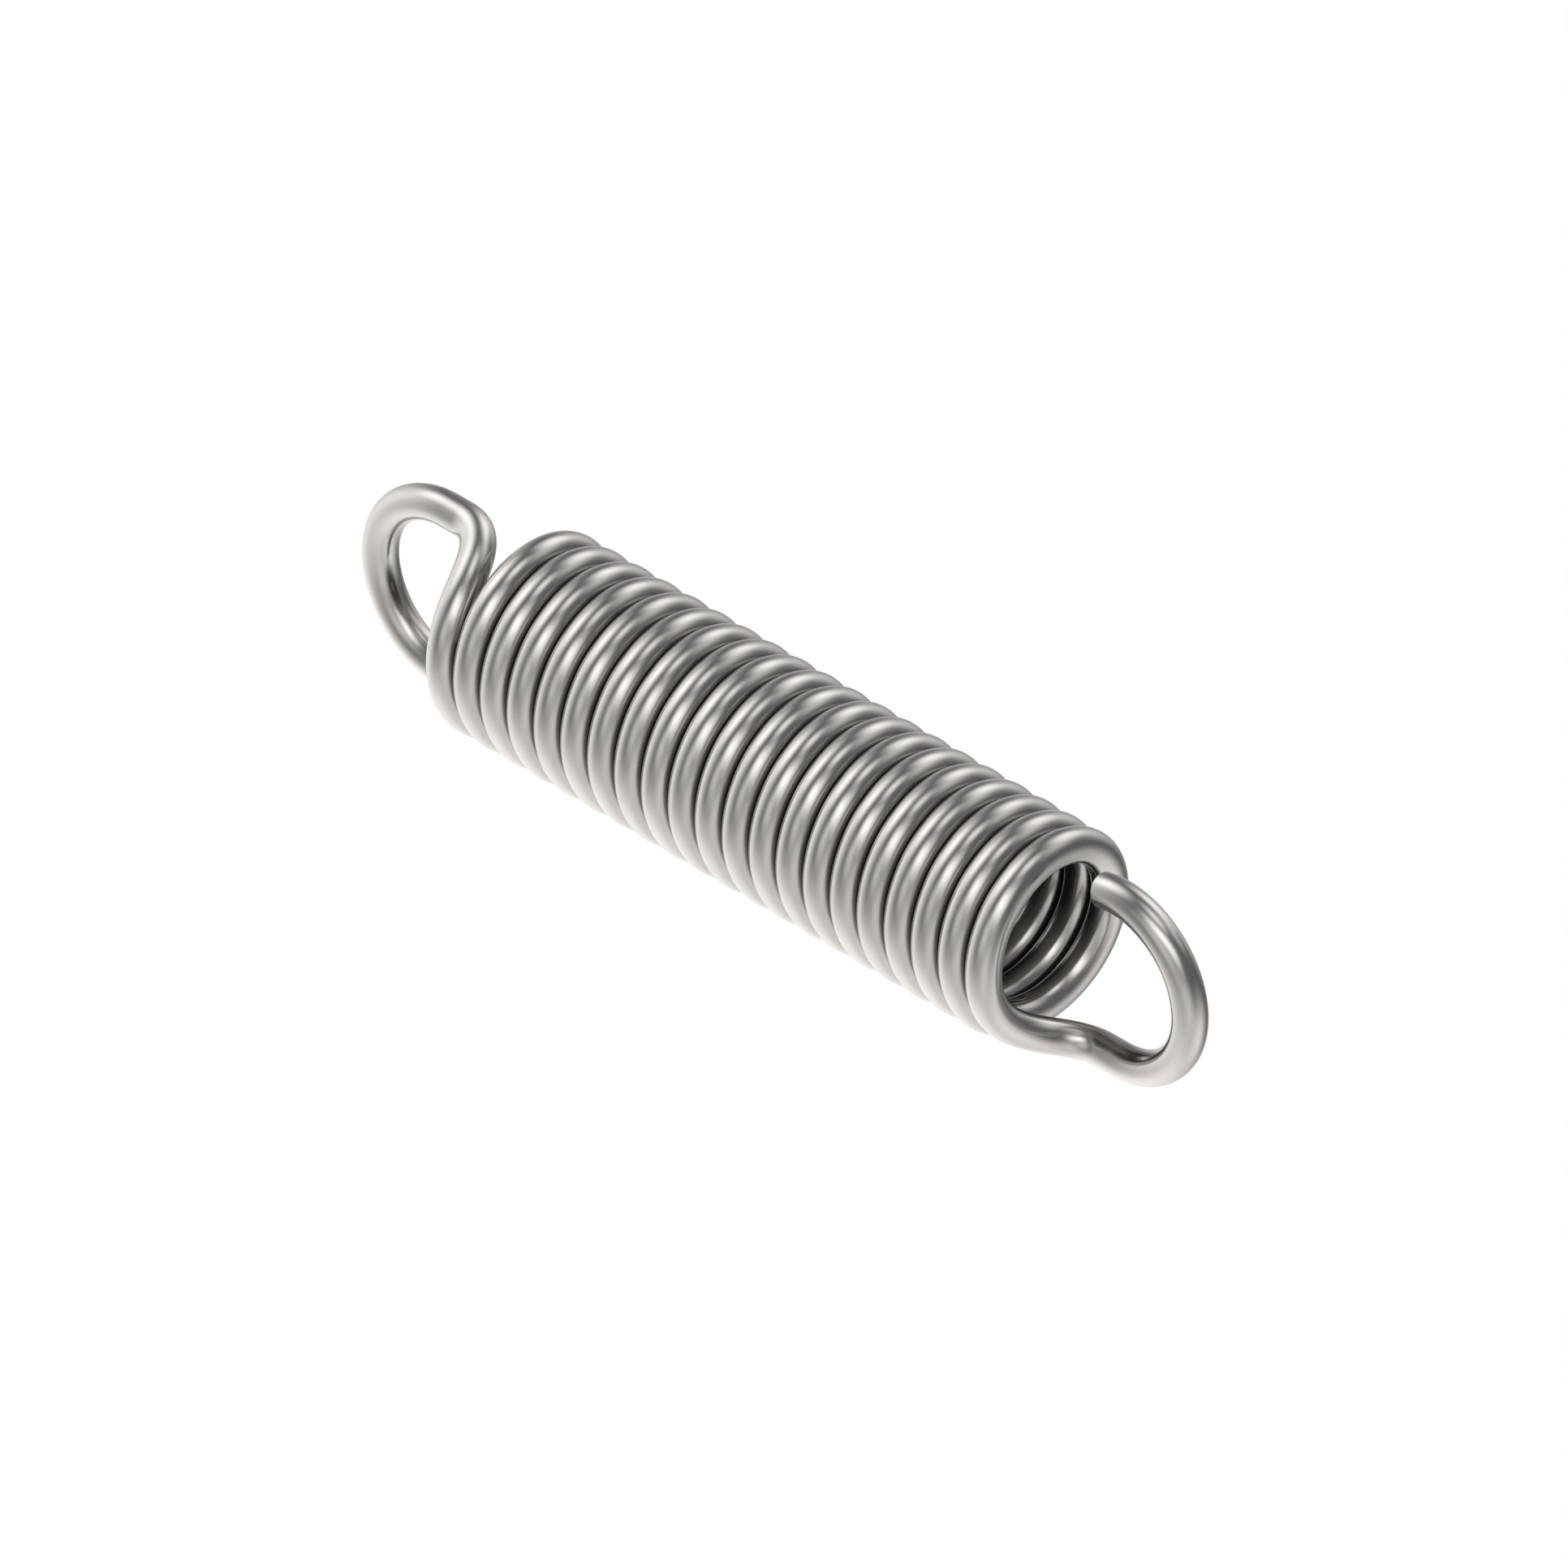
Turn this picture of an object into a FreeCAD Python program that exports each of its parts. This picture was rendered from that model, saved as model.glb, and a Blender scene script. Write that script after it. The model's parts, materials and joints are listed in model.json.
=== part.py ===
import FreeCAD, Part
import math
import os

import Sketcher
from FreeCAD import Rotation, Vector

# Close-wound tension spring bent from one length of round stainless spring wire.
#
# The coil's axis is +X and the origin is at the coil's centre. The coil is right-handed and
# starts and ends on its -Y side. Past each end of the coil the wire is lifted in one smooth
# bend into the XZ plane, runs straight for a short way, and closes in a full loop whose
# centre is on the coil's axis. Turning the spring half round about +Y swaps its two ends.
#
# The wire is divided at the -Y side of the coil, once a turn, because each turn twists and
# moves away from its neighbour when the spring is pulled.

DIMENSIONS = [
    # alias, millimetres unless the note says otherwise, note
    ("wire_diameter", 2.0, "round spring wire"),
    ("coil_mean_diameter", 10.5, "between wire centres; 12.5 outside, 8.5 inside"),
    ("turn_pitch", 2.025, "wire centre to wire centre along the axis, turns at rest"),
    ("turn_count", 20, "full turns between the two end bends (a count)"),
    ("turn_cut", 0.04, "gap that divides one turn from the next along the wire"),
    ("bend_reach_coil", 4.34, "how far the bend keeps the coil's direction"),
    ("bend_reach_loop", 3.25, "how far back the bend keeps the loop's direction"),
    ("bend_length", 3.88, "along the axis, from the last turn's end to the bend's end"),
    ("loop_offset", 4.92, "along the axis, from the last turn's end to the loop's centre"),
    ("loop_mean_diameter", 10.5, "between wire centres; 8.5 inside the eye"),
    ("loop_tip_angle", 104, "where the wire ends, round the loop from +X (degrees)"),
    ("tip_round", 0.15, "rounded edge of the cut wire tip"),
]

SHEET = "dimensions"
HALF_ROUND = Rotation(Vector(0, 1, 0), 180)  # swaps the spring's two ends


def add_dimensions(doc):
    """The spreadsheet that drives every sub-part."""
    sheet = doc.addObject("Spreadsheet::Sheet", SHEET)
    for row, (alias, value, note) in enumerate(DIMENSIONS, start=1):
        sheet.set(f"A{row}", alias)
        sheet.set(f"B{row}", str(value))
        sheet.set(f"C{row}", note)
        sheet.setAlias(f"B{row}", alias)
    doc.recompute()
    return sheet


def origin_feature(body, role):
    """The plane or axis of the body's own origin that has this role."""
    return next(item for item in body.Origin.OriginFeatures if item.Role == role)


def add_wire_section(body):
    """The wire's round section where it crosses the XY plane on the coil's -Y side."""
    centre_point = 3
    root_point = (-1, 1)
    vertical_axis = -2
    section = body.newObject("Sketcher::SketchObject", f"{body.Label}_section")
    section.AttachmentSupport = [(origin_feature(body, "XY_Plane"), "")]
    section.MapMode = "FlatFace"
    circle = section.addGeometry(Part.Circle(Vector(0, -1, 0), Vector(0, 0, 1), 1))
    section.addConstraint(
        Sketcher.Constraint("PointOnObject", circle, centre_point, vertical_axis)
    )
    drop = section.addConstraint(
        Sketcher.Constraint("DistanceY", circle, centre_point, *root_point, 1.0)
    )
    section.renameConstraint(drop, "coil_radius")
    section.setExpression("Constraints.coil_radius", f"{SHEET}.coil_mean_diameter / 2")
    radius = section.addConstraint(Sketcher.Constraint("Radius", circle, 1.0))
    section.renameConstraint(radius, "wire_radius")
    section.setExpression("Constraints.wire_radius", f"{SHEET}.wire_diameter / 2")
    return section


def add_coil_turn(doc, number):
    """One turn, run back from its front end and cut just short of the turn behind it."""
    body = doc.addObject("PartDesign::Body", f"coil_turn_{number:02d}")
    turn = body.newObject("PartDesign::AdditiveHelix", f"{body.Label}_wire")
    turn.Profile = add_wire_section(body)
    turn.ReferenceAxis = (origin_feature(body, "X_Axis"), [""])
    turn.Mode = "pitch-turns-angle"
    turn.setExpression("Pitch", f"{SHEET}.turn_pitch")
    turn.setExpression("Turns", f"1 - {SHEET}.turn_cut / (pi * {SHEET}.coil_mean_diameter)")
    body.Tip = turn
    body.Placement.Rotation = HALF_ROUND
    turns_from_centre = f"({number} - {SHEET}.turn_count / 2)"
    body.setExpression("Placement.Base.x", f"{SHEET}.turn_pitch * {turns_from_centre}")
    return body


def tip_centre(sheet):
    """Where the hook's centreline ends, in the hook's own frame."""
    angle = math.radians(sheet.loop_tip_angle)
    radius = sheet.loop_mean_diameter / 2
    return Vector(sheet.loop_offset + radius * math.cos(angle), 0, radius * math.sin(angle))


def add_hook_path(doc, sheet, label):
    """Centreline of a hook: the bend out of the coil, a short straight and the loop."""
    coil_radius = sheet.coil_mean_diameter / 2
    loop_radius = sheet.loop_mean_diameter / 2
    coil_end = Vector(0, -coil_radius, 0)
    coil_direction = Vector(sheet.turn_pitch / (2 * math.pi), 0, -coil_radius).normalize()
    bend_end = Vector(sheet.bend_length, 0, -loop_radius)
    bend = Part.BezierCurve()
    bend.setPoles(
        [
            coil_end,
            coil_end + coil_direction * sheet.bend_reach_coil,
            bend_end - Vector(sheet.bend_reach_loop, 0, 0),
            bend_end,
        ]
    )
    loop_start = Vector(sheet.loop_offset, 0, -loop_radius)
    loop_far = Vector(sheet.loop_offset + loop_radius, 0, 0)
    edges = [
        bend.toShape(),
        Part.LineSegment(bend_end, loop_start).toShape(),
        Part.Arc(loop_start, loop_far, tip_centre(sheet)).toShape(),
    ]
    path = doc.addObject("Part::Feature", f"{label}_path")
    path.Shape = Part.Wire(edges)
    return path


def add_hook(doc, sheet, label):
    """A hook in its own frame: the coil's last turn ends at its origin, and +X points away."""
    body = doc.addObject("PartDesign::Body", label)
    path = add_hook_path(doc, sheet, label)
    wire = body.newObject("PartDesign::AdditivePipe", f"{label}_wire")
    wire.Profile = add_wire_section(body)
    wire.Spine = (path, [f"Edge{number + 1}" for number in range(len(path.Shape.Edges))])
    doc.recompute()
    tip = tip_centre(sheet)
    distances = [(edge.CenterOfMass - tip).Length for edge in wire.Shape.Edges]
    tip_edge = distances.index(min(distances)) + 1
    rounding = body.newObject("PartDesign::Fillet", f"{label}_tip_round")
    rounding.Base = (wire, [f"Edge{tip_edge}"])
    rounding.setExpression("Radius", f"{SHEET}.tip_round")
    body.Tip = rounding
    return body


def check_document(doc, nodes):
    """Stop if a feature failed or a sub-part isn't one valid solid."""
    for item in doc.Objects:
        if "Invalid" in item.State or "Error" in item.State:
            raise RuntimeError(f"{item.Label} failed: {item.State}")
    for node in nodes:
        shape = node.Shape
        if shape.isNull() or not shape.isValid() or len(shape.Solids) != 1:
            raise RuntimeError(f"{node.Label} isn't one valid solid")


def check_volumes(sheet, turn, hook, path):
    """Compare the swept wire with its section times the length of its centreline."""
    section = math.pi * sheet.wire_diameter**2 / 4
    cut_share = sheet.turn_cut / (math.pi * sheet.coil_mean_diameter)
    around = math.pi * sheet.coil_mean_diameter * (1 - cut_share)
    for label, volume, expected in [
        (turn.Label, turn.Shape.Volume, section * around),
        (hook.Label, hook.Shape.Volume, section * path.Shape.Length),
    ]:
        print(f"{label}: {volume:.2f} mm3, expected {expected:.2f} mm3")
        if abs(volume / expected - 1) > 0.01:
            raise RuntimeError(f"{label} has the wrong volume")


def main():
    doc = FreeCAD.newDocument("tension_spring")
    sheet = add_dimensions(doc)

    turns = [add_coil_turn(doc, number) for number in range(1, int(sheet.turn_count) + 1)]

    front_hook = add_hook(doc, sheet, "front_hook")
    front_hook.setExpression("Placement.Base.x", f"{SHEET}.turn_pitch * {SHEET}.turn_count / 2")

    rear_hook = add_hook(doc, sheet, "rear_hook")
    rear_hook.Placement.Rotation = HALF_ROUND
    rear_hook.setExpression("Placement.Base.x", f"-{SHEET}.turn_pitch * {SHEET}.turn_count / 2")

    doc.recompute()
    nodes = [rear_hook, *turns, front_hook]
    check_document(doc, nodes)
    check_volumes(sheet, turns[0], front_hook, doc.getObject("front_hook_path"))

    os.makedirs("parts", exist_ok=True)
    for node in nodes:
        node.Shape.exportStep(f"parts/{node.Label}.step")


main()
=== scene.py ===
import json
import math

import bpy
import numpy as np
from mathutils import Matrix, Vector

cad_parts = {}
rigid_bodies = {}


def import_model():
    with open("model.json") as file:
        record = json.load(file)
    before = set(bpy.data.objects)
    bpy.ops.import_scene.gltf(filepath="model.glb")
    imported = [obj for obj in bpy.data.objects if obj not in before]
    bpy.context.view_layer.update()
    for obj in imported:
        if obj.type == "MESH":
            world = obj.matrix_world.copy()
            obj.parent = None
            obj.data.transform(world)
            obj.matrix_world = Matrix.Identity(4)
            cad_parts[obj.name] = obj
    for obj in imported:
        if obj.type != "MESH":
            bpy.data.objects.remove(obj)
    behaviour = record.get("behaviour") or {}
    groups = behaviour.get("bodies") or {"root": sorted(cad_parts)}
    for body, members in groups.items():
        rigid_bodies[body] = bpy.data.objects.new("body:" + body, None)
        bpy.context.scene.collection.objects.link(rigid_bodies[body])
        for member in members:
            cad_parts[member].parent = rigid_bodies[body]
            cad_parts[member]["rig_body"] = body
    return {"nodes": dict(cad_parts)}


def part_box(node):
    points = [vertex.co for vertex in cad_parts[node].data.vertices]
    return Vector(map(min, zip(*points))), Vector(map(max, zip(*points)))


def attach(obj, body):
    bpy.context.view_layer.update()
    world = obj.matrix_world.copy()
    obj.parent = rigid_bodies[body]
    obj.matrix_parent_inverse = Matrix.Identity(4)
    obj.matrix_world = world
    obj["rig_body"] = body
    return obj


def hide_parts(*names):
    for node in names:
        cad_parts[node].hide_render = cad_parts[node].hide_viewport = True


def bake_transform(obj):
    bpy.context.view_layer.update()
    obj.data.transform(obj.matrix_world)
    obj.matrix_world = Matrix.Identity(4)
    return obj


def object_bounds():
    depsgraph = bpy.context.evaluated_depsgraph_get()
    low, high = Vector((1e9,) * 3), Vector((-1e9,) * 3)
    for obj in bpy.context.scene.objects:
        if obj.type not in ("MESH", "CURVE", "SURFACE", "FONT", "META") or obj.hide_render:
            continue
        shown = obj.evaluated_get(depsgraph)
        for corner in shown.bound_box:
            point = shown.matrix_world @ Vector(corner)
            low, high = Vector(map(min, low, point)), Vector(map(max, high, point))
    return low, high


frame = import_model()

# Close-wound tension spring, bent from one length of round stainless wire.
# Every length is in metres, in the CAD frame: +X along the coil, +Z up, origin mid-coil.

cad_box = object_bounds()

# ---------------------------------------------------------------- sizes, from the frame
TURNS = sorted(name for name in frame["nodes"] if name.startswith("coil_turn_"))
HOOK_LOW, HOOK_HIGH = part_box("front_hook")
WIRE_RADIUS = HOOK_HIGH.y
COIL_RADIUS = -HOOK_LOW.y - WIRE_RADIUS
LOOP_RADIUS = HOOK_HIGH.z - WIRE_RADIUS
PITCH = (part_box(TURNS[-1])[0].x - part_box(TURNS[0])[0].x) / (len(TURNS) - 1)
COIL_END = PITCH * len(TURNS) / 2
LOOP_OFFSET = HOOK_HIGH.x - COIL_END - LOOP_RADIUS - WIRE_RADIUS
TURN_LENGTH = math.hypot(2 * math.pi * COIL_RADIUS, PITCH)

# The bend between the coil and a loop, and where the wire ends, as the CAD source has them.
BEND_LENGTH = 0.00388
BEND_REACH_COIL = 0.00434
BEND_REACH_LOOP = 0.00325
LOOP_TIP_ANGLE = math.radians(104)
TIP_ROUND = 0.00015

# ---------------------------------------------------------------- finish of the wire
# Steel that reflects a warm grey, satin rather than mirror bright.
STEEL = (0.50, 0.48, 0.46, 1.0)
STEEL_DULL = (0.47, 0.45, 0.43, 1.0)
# Painted shade: the steel's colour darkened on the flanks where one turn lies against the next.
GROOVE_PAINTED_SHADE = (0.21, 0.20, 0.19, 1.0)
CUT_STEEL = (0.53, 0.51, 0.49, 1.0)

# Roughness of the steel, and what the sheen, the die lines, a groove and a cut face add to it.
ROUGHNESS = 0.21
SHEEN_ROUGHNESS = (-0.015, 0.02)
DIE_LINE_ROUGHNESS = (-0.01, 0.015)
GROOVE_ROUGHNESS = 0.06
CUT_ROUGHNESS = 0.2

# Noise scales per metre, two across the wire and one along it, and how fine the noise goes.
DIE_LINE_SCALE = (9000, 9000, 120)
DIE_LINE_DETAIL = 3.0
SHEEN_SCALE = (900, 900, 160)
GRAIN_SCALE = (14000, 14000, 14000)
DETAIL = 2.0

# Between these noise values the steel turns dull, and the roughness goes from low to high.
DULL_RANGE = (0.35, 0.7)
ROUGH_RANGE = (0.3, 0.7)

# Depth of the relief, and the share of a cut face's grain that the drawn wire has.
DIE_LINE_DEPTH = 0.0000008
GRAIN_DEPTH = 0.000004
DRAWN_GRAIN = 0.08

# A flank is how far the wire's outward side points along the coil's axis, from 0 to 1.
# The painted groove shade starts at the first flank and is at its darkest from the second on.
GROOVE_START = 0.78
GROOVE_FULL = 0.95
# The painted groove shade fades out over this length of wire where the neighbouring turn has
# ended, and runs on this far past the coil's two ends.
GROOVE_FADE = 0.004
GROOVE_OVERRUN = 0.002

# ---------------------------------------------------------------- studio
# Soft lights round the spring: azimuth from +X towards +Y and height above the floor in degrees,
# the angle over which each fades out, and its strength.
SOFT_LIGHTS = {
    "key": (-65, 50, 25, 1.8),
    "key_right": (-35, 40, 30, 1.8),
    "front_fill": (-80, 20, 35, 0.9),
    "left_fill": (-165, 15, 60, 1.2),
    "right_fill": (-40, -10, 45, 0.7),
    "overhead": (25, 75, 25, 1.6),
    "back": (100, 35, 30, 1.7),
    "back_right": (65, 40, 30, 0.8),
    "back_low": (100, 5, 35, 0.8),
    "back_left": (190, 50, 35, 1.6),
    "floor_front": (-95, -65, 85, 1.1),
    "floor_back": (170, -40, 75, 0.9),
    "floor_right": (20, -40, 50, 1.0),
}
SURROUND = 0.2
FLOOR_HALF_WIDTH = 2.0
WHITE = (1.0, 1.0, 1.0, 1.0)
BLACK = (0.0, 0.0, 0.0, 1.0)
BOUNCES = 8

# The view: its width at the spring, and the point it is centred on, a hair off the coil's centre.
LENS_MM = 1600.0
VIEW_WIDTH = 41.16 * PITCH
LOOK_AT = (0.00003, 0.00002, -0.00001)

# ---------------------------------------------------------------- mesh fineness
AROUND = 64
RINGS_PER_TURN = 120
BEND_RINGS = 64
STRAIGHT_RINGS = 6
LOOP_RINGS = 96
ROUND_RINGS = 6


# ---------------------------------------------------------------- the wire's centreline
def unit(vectors):
    return vectors / np.linalg.norm(vectors, axis=-1, keepdims=True)


def coil_line(number):
    """Centres, directions and outward sides of one turn, which starts and ends at -Y."""
    turned = np.linspace(0, 1, RINGS_PER_TURN + 1)
    angle = math.pi + 2 * math.pi * turned
    flat = np.zeros_like(angle)
    side = np.stack([flat, np.cos(angle), np.sin(angle)], axis=1)
    centre = side * COIL_RADIUS
    centre[:, 0] = (number - 1 + turned) * PITCH - COIL_END
    along = np.stack([flat, -np.sin(angle), np.cos(angle)], axis=1) * COIL_RADIUS
    along[:, 0] = PITCH / (2 * math.pi)
    return centre, unit(along), side


def bezier(poles, steps):
    """Points and directions along a cubic Bezier curve."""
    t = np.linspace(0, 1, steps + 1)[:, None]
    p0, p1, p2, p3 = poles
    points = (1 - t) ** 3 * p0 + 3 * (1 - t) ** 2 * t * p1 + 3 * (1 - t) * t**2 * p2 + t**3 * p3
    slopes = (1 - t) ** 2 * (p1 - p0) + 2 * (1 - t) * t * (p2 - p1) + t**2 * (p3 - p2)
    return points, unit(slopes)


def carried_sides(points, along, first):
    """Sides carried along a line without twist, from the first one. Each is mirrored twice, once
    across the step to the next point and once to square it with the direction there."""
    sides = [first]
    for here in range(len(points) - 1):
        step = points[here + 1] - points[here]
        length2 = step @ step
        side = sides[-1] - 2 * (step @ sides[-1]) / length2 * step
        ahead = along[here] - 2 * (step @ along[here]) / length2 * step
        turn = along[here + 1] - ahead
        if turn @ turn > 0:
            side = side - 2 * (turn @ side) / (turn @ turn) * turn
        sides.append(side)
    return unit(np.array(sides))


def hook_line():
    """Centres, directions and sides of a hook whose coil ends at the origin.
    It is a bend, a short straight and the loop."""
    coil_direction = unit(np.array([PITCH / (2 * math.pi), 0, -COIL_RADIUS]))
    start = np.array([0, -COIL_RADIUS, 0])
    bend_end = np.array([BEND_LENGTH, 0, -LOOP_RADIUS])
    forward = np.array([1.0, 0, 0])
    poles = [
        start,
        start + coil_direction * BEND_REACH_COIL,
        bend_end - forward * BEND_REACH_LOOP,
        bend_end,
    ]
    bend, bend_along = bezier(poles, BEND_RINGS)

    share = np.linspace(0, 1, STRAIGHT_RINGS + 1)[1:, None]
    straight = bend_end + forward * share * (LOOP_OFFSET - BEND_LENGTH)
    straight_along = np.repeat(forward[None], STRAIGHT_RINGS, axis=0)

    angle = np.linspace(-math.pi / 2, LOOP_TIP_ANGLE, LOOP_RINGS + 1)[1:]
    flat = np.zeros_like(angle)
    loop = np.stack([np.cos(angle), flat, np.sin(angle)], axis=1) * LOOP_RADIUS
    loop[:, 0] += LOOP_OFFSET
    loop_along = np.stack([-np.sin(angle), flat, np.cos(angle)], axis=1)

    centre = np.concatenate([bend, straight, loop])
    along = np.concatenate([bend_along, straight_along, loop_along])
    return centre, along, carried_sides(centre, along, np.array([0, -1.0, 0]))


def to_front(vectors):
    """Moves a hook's points from its own frame to the coil's front end."""
    return vectors + np.array([COIL_END, 0, 0])


def half_round(vectors):
    """Half a turn about +Y, which swaps the spring's two ends."""
    return vectors * np.array([-1, 1, -1])


# ---------------------------------------------------------------- the wire's skin
def lengths_along(centre):
    """Length of wire from the line's start to each of its points."""
    steps = np.linalg.norm(np.diff(centre, axis=0), axis=1)
    return np.concatenate([[0], np.cumsum(steps)])


def ring_offsets(along, side):
    """Outward directions of the AROUND points of every ring, and their angles."""
    angle = np.linspace(0, 2 * math.pi, AROUND, endpoint=False)
    cosine = np.cos(angle)[None, :, None]
    sine = np.sin(angle)[None, :, None]
    across = np.cross(along, side)
    return side[:, None] * cosine + across[:, None] * sine, angle


def smooth_step(value):
    value = np.clip(value, 0, 1)
    return value * value * (3 - 2 * value)


def groove_shade_share(out, length):
    """How far a point lies in the groove between two turns, the flank that a neighbour touches,
    where shade is painted into the colour and the steel is rougher.
    The first turn has none behind it and the last has none before it."""
    all_turns = TURN_LENGTH * len(TURNS)
    flank = out[:, :, 0]
    length = length[:, None]
    width = GROOVE_FULL - GROOVE_START
    ahead = smooth_step((all_turns - TURN_LENGTH - length) / GROOVE_FADE + 1)
    behind = smooth_step((length - TURN_LENGTH) / GROOVE_FADE + 1)
    front = smooth_step((flank - GROOVE_START) / width) * ahead
    rear = smooth_step((-flank - GROOVE_START) / width) * behind
    return front * (length > -GROOVE_OVERRUN) + rear * (length < all_turns + GROOVE_OVERRUN)


def rounded_tip(centre, along, side, length):
    """The line with its last ring replaced by several, which round the edge of the cut end.
    Also how far each ring is drawn in, and how far its normals lean towards the cut face."""
    quarter = np.linspace(0, math.pi / 2, ROUND_RINGS + 1)
    copies = np.ones(len(centre), dtype=int)
    copies[-1] = len(quarter)
    lean = np.zeros(copies.sum())
    lean[-len(quarter):] = quarter
    back = np.zeros(copies.sum())
    back[-len(quarter):] = TIP_ROUND * (1 - np.sin(quarter))
    centre, along, side, length = (
        np.repeat(values, copies, axis=0) for values in (centre, along, side, length)
    )
    inset = TIP_ROUND * (1 - np.cos(lean))
    return centre - along * back[:, None], along, side, length, inset, lean


def tube_faces(rings):
    """Four-sided faces between the rings, then one flat face over each end."""
    first = np.arange(AROUND)
    after = np.roll(first, -1)
    band = np.stack([first, after, after + AROUND, first + AROUND], axis=1)
    starts = np.arange(rings - 1) * AROUND
    faces = (band[None] + starts[:, None, None]).reshape(-1, 4).tolist()
    faces.append(first[::-1].tolist())
    faces.append(((rings - 1) * AROUND + first).tolist())
    return faces


def set_normals(mesh, normals, along):
    """The wire's own smooth normals, and flat ones on the end faces, which come last."""
    corners = np.empty(len(mesh.loops), dtype=np.int32)
    mesh.loops.foreach_get("vertex_index", corners)
    corner_normals = normals.reshape(-1, 3)[corners]
    corner_normals[-2 * AROUND:-AROUND] = -along[0]
    corner_normals[-AROUND:] = along[-1]
    mesh.normals_split_custom_set(corner_normals.tolist())


def keep_on_points(mesh, name, kind, field, values):
    """Keeps a value on every point of the mesh, for the material to read."""
    attribute = mesh.attributes.new(name, kind, "POINT")
    attribute.data.foreach_set(field, values.astype(np.float32).ravel())


def skin(name, centre, along, side, start_length, tip=False, backwards=False):
    """A closed tube along the line. A tip is a cut end with a rounded edge. Each point keeps its
    place on the drawn wire (round it and along it), which the steel's die lines follow, how far
    it lies in the groove between two turns, where shade is painted, and whether it is on a cut
    face."""
    sense = -1 if backwards else 1
    length = start_length + lengths_along(centre) * sense
    inset = np.zeros(len(centre))
    lean = np.zeros(len(centre))
    if tip:
        centre, along, side, length, inset, lean = rounded_tip(centre, along, side, length)
    out, angle = ring_offsets(along, side)
    points = centre[:, None] + out * (WIRE_RADIUS - inset)[:, None, None]
    normals = out * np.cos(lean)[:, None, None] + along[:, None] * np.sin(lean)[:, None, None]
    place = np.empty(points.shape)
    place[:, :, 0] = np.cos(angle) * WIRE_RADIUS
    place[:, :, 1] = np.sin(angle) * sense * WIRE_RADIUS
    place[:, :, 2] = length[:, None]

    mesh = bpy.data.meshes.new(name)
    mesh.from_pydata(points.reshape(-1, 3).tolist(), [], tube_faces(len(centre)))
    mesh.shade_smooth()
    keep_on_points(mesh, "wire_place", "FLOAT_VECTOR", "vector", place)
    # The groove mask says where shade is painted into the steel's colour.
    keep_on_points(mesh, "groove", "FLOAT", "value", groove_shade_share(out, length))
    keep_on_points(mesh, "cut_face", "FLOAT", "value", np.repeat(lean / (math.pi / 2), AROUND))
    set_normals(mesh, normals, along)
    piece = bpy.data.objects.new(name, mesh)
    bpy.context.scene.collection.objects.link(piece)
    return piece


# ---------------------------------------------------------------- shader nodes
def feed(tree, socket, value):
    """Links an input to an output socket, or sets it to a plain value."""
    if isinstance(value, bpy.types.NodeSocket):
        tree.links.new(value, socket)
    else:
        socket.default_value = value


def add_node(tree, kind, **values):
    """A node with its named inputs fed."""
    node = tree.nodes.new(kind)
    for name, value in values.items():
        feed(tree, node.inputs[name.replace("_", " ")], value)
    return node


def maths(tree, operation, *values):
    node = tree.nodes.new("ShaderNodeMath")
    node.operation = operation
    for socket, value in zip(node.inputs, values):
        feed(tree, socket, value)
    return node.outputs["Value"]


def mixed_colour(tree, share, first, second):
    node = tree.nodes.new("ShaderNodeMixRGB")
    for socket, value in zip(node.inputs, (share, first, second)):
        feed(tree, socket, value)
    return node.outputs["Color"]


def ranged(tree, value, from_range, to_range, interpolation="LINEAR"):
    """A value carried from one range to another."""
    node = add_node(
        tree,
        "ShaderNodeMapRange",
        Value=value,
        From_Min=from_range[0],
        From_Max=from_range[1],
        To_Min=to_range[0],
        To_Max=to_range[1],
    )
    node.interpolation_type = interpolation
    return node.outputs["Result"]


def attribute(tree, name, output):
    node = tree.nodes.new("ShaderNodeAttribute")
    node.attribute_name = name
    return node.outputs[output]


def spread_noise(tree, place, scale, detail):
    """Noise over the wire, with its own scale across the wire and along it."""
    mapping = add_node(tree, "ShaderNodeMapping", Vector=place, Scale=scale)
    noise = add_node(
        tree, "ShaderNodeTexNoise", Vector=mapping.outputs["Vector"], Scale=1.0, Detail=detail
    )
    return noise.outputs["Fac"]


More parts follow.
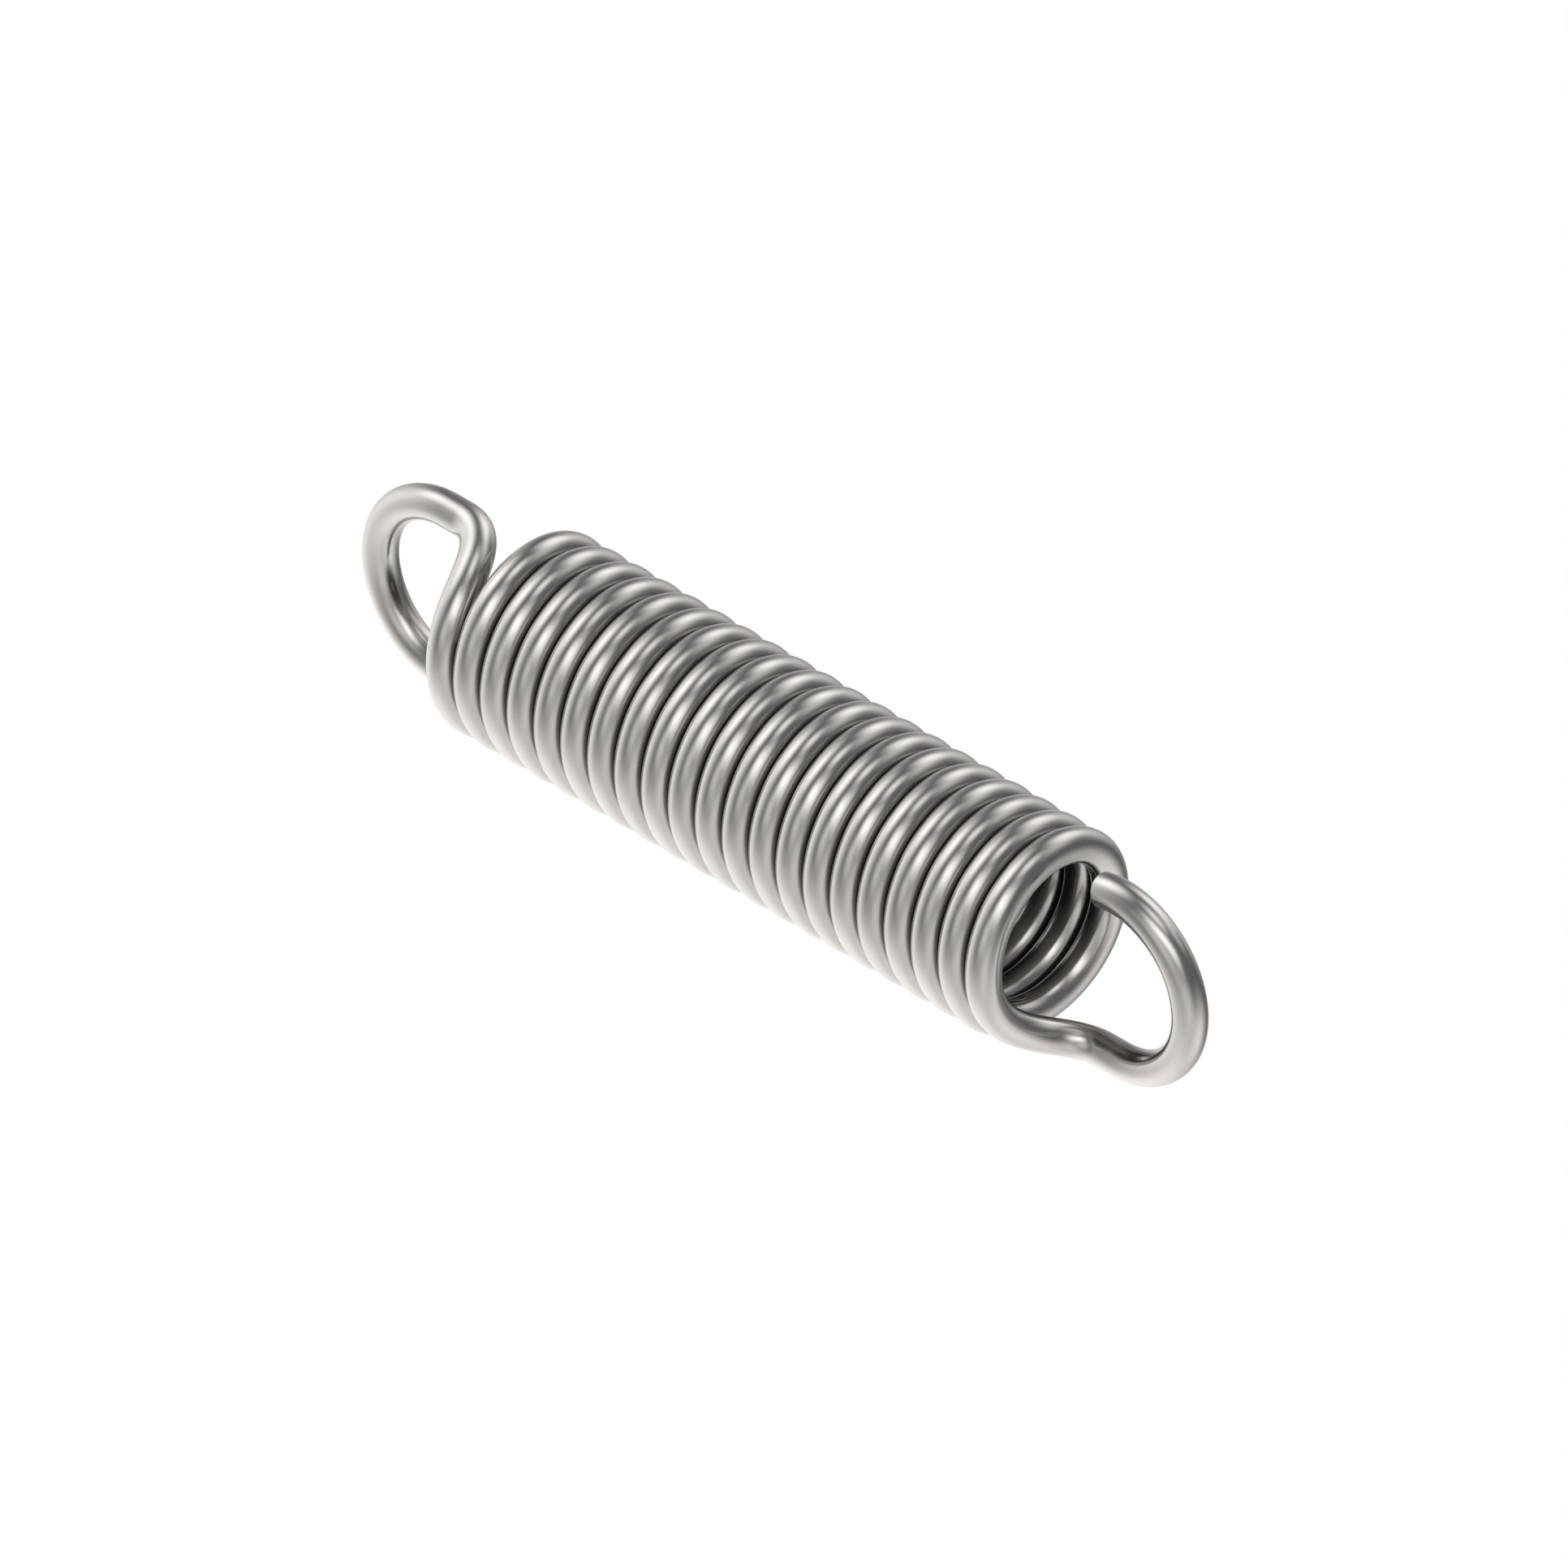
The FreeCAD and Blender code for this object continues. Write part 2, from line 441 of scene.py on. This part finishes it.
# ---------------------------------------------------------------- materials
def spring_steel():
    """Satin cold-drawn wire: fine die lines along it, a slightly uneven sheen, shade painted into
    the colour where turns lie against each other, and a duller sheared face at each end."""
    material = bpy.data.materials.new("spring_steel")
    material.use_nodes = True
    tree = material.node_tree
    shader = tree.nodes["Principled BSDF"]
    shader.inputs["Metallic"].default_value = 1.0

    place = attribute(tree, "wire_place", "Vector")
    groove = attribute(tree, "groove", "Fac")
    cut = attribute(tree, "cut_face", "Fac")
    die_lines = spread_noise(tree, place, DIE_LINE_SCALE, DIE_LINE_DETAIL)
    sheen = spread_noise(tree, place, SHEEN_SCALE, DETAIL)
    grain = spread_noise(tree, place, GRAIN_SCALE, DETAIL)

    dulled = mixed_colour(tree, ranged(tree, sheen, DULL_RANGE, (0.0, 1.0)), STEEL, STEEL_DULL)
    # Painted shade on the flanks where turns lie against each other.
    with_painted_shade = mixed_colour(tree, groove, dulled, GROOVE_PAINTED_SHADE)
    feed(tree, shader.inputs["Base Color"], mixed_colour(tree, cut, with_painted_shade, CUT_STEEL))

    sheen_range = [ROUGHNESS + change for change in SHEEN_ROUGHNESS]
    rough = ranged(tree, sheen, ROUGH_RANGE, sheen_range)
    for change in (
        ranged(tree, die_lines, ROUGH_RANGE, DIE_LINE_ROUGHNESS),
        maths(tree, "MULTIPLY", groove, GROOVE_ROUGHNESS),
        maths(tree, "MULTIPLY", cut, CUT_ROUGHNESS),
    ):
        rough = maths(tree, "ADD", rough, change)
    feed(tree, shader.inputs["Roughness"], rough)

    lines = add_node(
        tree, "ShaderNodeBump", Height=die_lines, Strength=1.0, Distance=DIE_LINE_DEPTH
    )
    pits = add_node(
        tree,
        "ShaderNodeBump",
        Height=maths(tree, "MULTIPLY", grain, maths(tree, "ADD", cut, DRAWN_GRAIN)),
        Strength=1.0,
        Distance=GRAIN_DEPTH,
        Normal=lines.outputs["Normal"],
    )
    feed(tree, shader.inputs["Normal"], pits.outputs["Normal"])
    return material


# ---------------------------------------------------------------- the pieces
def build_spring(material):
    centre, along, side = hook_line()
    front = skin(
        "front_hook_wire", to_front(centre), along, side, TURN_LENGTH * len(TURNS), tip=True
    )
    rear = skin(
        "rear_hook_wire",
        half_round(to_front(centre)),
        half_round(along),
        half_round(side),
        0,
        tip=True,
        backwards=True,
    )
    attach(front, "front_hook")
    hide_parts("front_hook")
    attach(rear, "rear_hook")
    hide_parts("rear_hook")
    pieces = [front, rear]
    for number, node in enumerate(TURNS, start=1):
        piece = skin(f"{node}_wire", *coil_line(number), TURN_LENGTH * (number - 1))
        stretch_with_coil(piece)
        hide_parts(node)
        pieces.append(piece)
    for piece in pieces:
        piece.data.materials.append(material)


def stretch_with_coil(piece):
    """Bakes the turn's placement into its mesh points."""
    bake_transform(piece)


# ---------------------------------------------------------------- stage, camera, lights
def add_camera():
    """An isometric view through a very long lens, so near and far turns look the same size."""
    data = bpy.data.cameras.new("camera")
    data.lens = LENS_MM
    camera = bpy.data.objects.new("camera", data)
    bpy.context.scene.collection.objects.link(camera)
    back = Vector((1, -1, 1)).normalized()
    camera.location = Vector(LOOK_AT) + back * VIEW_WIDTH * LENS_MM / data.sensor_width
    camera.rotation_mode = "QUATERNION"
    camera.rotation_quaternion = (-back).to_track_quat("-Z", "Y")
    bpy.context.scene.camera = camera


def add_floor():
    """A plain white floor under the spring, lit so evenly that nothing shows on it."""
    half = FLOOR_HALF_WIDTH
    mesh = bpy.data.meshes.new("floor")
    corners = [(-half, -half, 0), (half, -half, 0), (half, half, 0), (-half, half, 0)]
    mesh.from_pydata(corners, [], [(0, 1, 2, 3)])
    floor = bpy.data.objects.new("floor", mesh)
    floor.location.z = cad_box[0].z
    floor.visible_glossy = False
    floor.visible_diffuse = False
    floor.visible_shadow = False
    bpy.context.scene.collection.objects.link(floor)
    material = bpy.data.materials.new("floor_white")
    material.use_nodes = True
    shader = material.node_tree.nodes["Principled BSDF"]
    shader.inputs["Base Color"].default_value = BLACK
    shader.inputs["Specular IOR Level"].default_value = 0.0
    shader.inputs["Emission Color"].default_value = WHITE
    shader.inputs["Emission Strength"].default_value = 1.0
    mesh.materials.append(material)


def towards(azimuth, elevation):
    """The direction that two angles in degrees point in."""
    turn = math.radians(azimuth)
    lift = math.radians(elevation)
    return math.cos(lift) * math.cos(turn), math.cos(lift) * math.sin(turn), math.sin(lift)


def add_studio():
    """Soft lights all round, on a dim surround. The camera itself sees only white there."""
    world = bpy.data.worlds.new("studio")
    bpy.context.scene.world = world
    world.use_nodes = True
    tree = world.node_tree
    direction = tree.nodes.new("ShaderNodeTexCoord").outputs["Generated"]
    total = SURROUND
    for azimuth, elevation, fade, strength in SOFT_LIGHTS.values():
        nearness = tree.nodes.new("ShaderNodeVectorMath")
        nearness.operation = "DOT_PRODUCT"
        feed(tree, nearness.inputs[0], direction)
        feed(tree, nearness.inputs[1], towards(azimuth, elevation))
        angle = maths(tree, "ARCCOSINE", nearness.outputs["Value"])
        light = ranged(tree, angle, (math.radians(fade), 0.0), (0.0, strength), "SMOOTHSTEP")
        total = maths(tree, "ADD", total, light)
    seen = tree.nodes.new("ShaderNodeLightPath").outputs["Is Camera Ray"]
    colour = mixed_colour(tree, seen, total, WHITE)
    feed(tree, tree.nodes["Background"].inputs["Color"], colour)


bpy.context.scene.view_settings.view_transform = "Standard"
# The grooves and the bore are lit only by light that has bounced several times.
bpy.context.scene.cycles.min_light_bounces = BOUNCES
bpy.context.scene.cycles.glossy_bounces = BOUNCES
add_camera()
add_studio()
add_floor()
build_spring(spring_steel())
